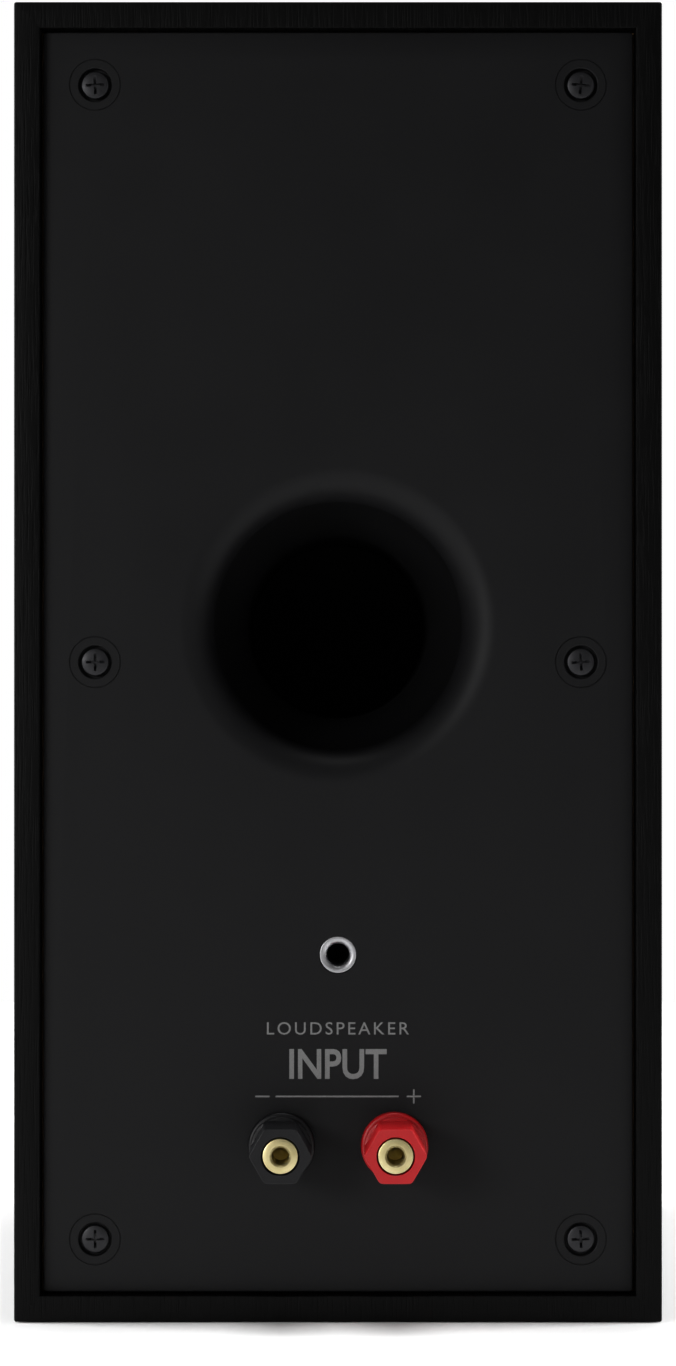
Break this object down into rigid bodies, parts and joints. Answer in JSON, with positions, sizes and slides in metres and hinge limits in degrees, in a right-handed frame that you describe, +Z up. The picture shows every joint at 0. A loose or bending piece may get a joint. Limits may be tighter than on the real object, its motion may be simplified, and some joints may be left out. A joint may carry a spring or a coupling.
{
  "type": "bookshelf speaker",
  "caption": "Ported two-way bookshelf speaker in black wood-grain vinyl, with a recessed rear panel, flared port, wall-mount insert, red and black binding posts and a removable cloth grille.",
  "frame": {"origin": "middle of the cabinet's bottom face, on the surface it stands on", "axes": "+Z up, -Y out of the front with its drivers and grille, +Y out of the rear panel, +X across, on the side of the black binding post"},
  "size_m": [0.15, 0.2178, 0.3055],
  "materials": {
    "black_vinyl": "fibreboard wrapped in black wood-grain vinyl, satin",
    "baffle_lacquer": "fibreboard in matt black lacquer",
    "raw_board": "bare pine batten",
    "black_plastic": "moulded black ABS, satin",
    "red_plastic": "moulded red nylon, semi-gloss",
    "gold_plate": "gold-plated brass, bright",
    "black_steel": "black zinc plated steel",
    "zinc_steel": "zinc plated steel",
    "foam": "closed-cell foam strip",
    "circuit_board": "green solder mask",
    "copper_winding": "enamelled copper wire",
    "capacitor_film": "yellow film wrap",
    "ceramic": "white ceramic body",
    "cable_jacket": "black flexible jacket",
    "wadding": "white polyester wadding",
    "stamped_steel": "black enamelled stamped steel",
    "rubber": "matt butyl rubber",
    "cone_paper": "coated pulp, matt",
    "spider_cloth": "resin-dipped cotton",
    "former_foil": "thin foil former with copper winding",
    "ferrite": "sintered ferrite",
    "dome_silk": "coated silk",
    "grille_cloth": "black acoustic knit"
  },
  "bodies": {
    "cabinet": {"cabinet_left": "black_vinyl", "cabinet_right": "black_vinyl", "cabinet_top": "black_vinyl", "cabinet_bottom": "black_vinyl", "front_baffle": "baffle_lacquer", "rear_cleat_left": "raw_board", "rear_cleat_right": "raw_board", "rear_panel": "black_plastic", "port_tube": "black_plastic", "black_post_collar": "black_plastic", "tweeter_faceplate": "black_plastic", "red_post_collar": "red_plastic", "black_post_stud": "gold_plate", "red_post_stud": "gold_plate", "rear_screw_1": "black_steel", "rear_screw_2": "black_steel", "rear_screw_3": "black_steel", "rear_screw_4": "black_steel", "rear_screw_5": "black_steel", "rear_screw_6": "black_steel", "woofer_screw_1": "black_steel", "woofer_screw_2": "black_steel", "woofer_screw_3": "black_steel", "woofer_screw_4": "black_steel", "tweeter_screw_1": "black_steel", "tweeter_screw_2": "black_steel", "tweeter_screw_3": "black_steel", "tweeter_screw_4": "black_steel", "threaded_insert": "zinc_steel", "black_post_nut": "zinc_steel", "red_post_nut": "zinc_steel", "woofer_top_plate": "zinc_steel", "woofer_yoke": "zinc_steel", "tweeter_top_plate": "zinc_steel", "tweeter_yoke": "zinc_steel", "rear_gasket": "foam", "crossover_board": "circuit_board", "crossover_inductor": "copper_winding", "crossover_capacitor": "capacitor_film", "crossover_resistor": "ceramic", "woofer_cable": "cable_jacket", "tweeter_cable": "cable_jacket", "damping_wadding": "wadding", "woofer_frame": "stamped_steel", "woofer_surround": "rubber", "tweeter_suspension": "rubber", "woofer_spider": "spider_cloth", "woofer_magnet": "ferrite", "tweeter_magnet": "ferrite"},
    "woofer_motion": {"woofer_cone": "cone_paper", "woofer_dust_cap": "cone_paper", "woofer_voice_coil": "former_foil"},
    "tweeter_motion": {"tweeter_dome": "dome_silk", "tweeter_voice_coil": "copper_winding"},
    "grille": {"grille_frame": "black_plastic", "grille_cloth": "grille_cloth"},
    "black_washer": {"black_post_washer": "gold_plate"},
    "black_cap": {"black_post_cap": "black_plastic"},
    "red_washer": {"red_post_washer": "gold_plate"},
    "red_cap": {"red_post_cap": "red_plastic"}
  },
  "joints": [
    {"name": "woofer_travel", "type": "slide", "parent": "cabinet", "child": "woofer_motion", "axis": [0, -1, 0], "range_m": [-0.003, 0.003], "stiffness_N_per_m": 1500, "deforming": ["woofer_surround", "woofer_spider"]},
    {"name": "tweeter_travel", "type": "slide", "parent": "cabinet", "child": "tweeter_motion", "axis": [0, -1, 0], "range_m": [-0.0003, 0.0003], "stiffness_N_per_m": 800, "deforming": ["tweeter_suspension"]},
    {"name": "grille_pull_off", "type": "slide", "parent": "cabinet", "child": "grille", "axis": [0, -1, 0], "range_m": [0, 0.08]},
    {"name": "black_clamp", "type": "slide", "parent": "cabinet", "child": "black_washer", "axis": [0, 1, 0], "range_m": [0, 0.006]},
    {"name": "black_unscrew", "type": "hinge", "parent": "black_washer", "child": "black_cap", "pos_m": [0.0131, 0.1, 0.0406], "axis": [0, 1, 0], "range_deg": [0, 2160]},
    {"name": "red_clamp", "type": "slide", "parent": "cabinet", "child": "red_washer", "axis": [0, 1, 0], "range_m": [0, 0.006]},
    {"name": "red_unscrew", "type": "hinge", "parent": "red_washer", "child": "red_cap", "pos_m": [-0.0131, 0.1, 0.0406], "axis": [0, 1, 0], "range_deg": [0, 2160]}
  ],
  "couplings": [
    {"joint": "black_unscrew", "follows": "black_clamp", "rad_per_m": 6283.2},
    {"joint": "red_unscrew", "follows": "red_clamp", "rad_per_m": 6283.2}
  ]
}
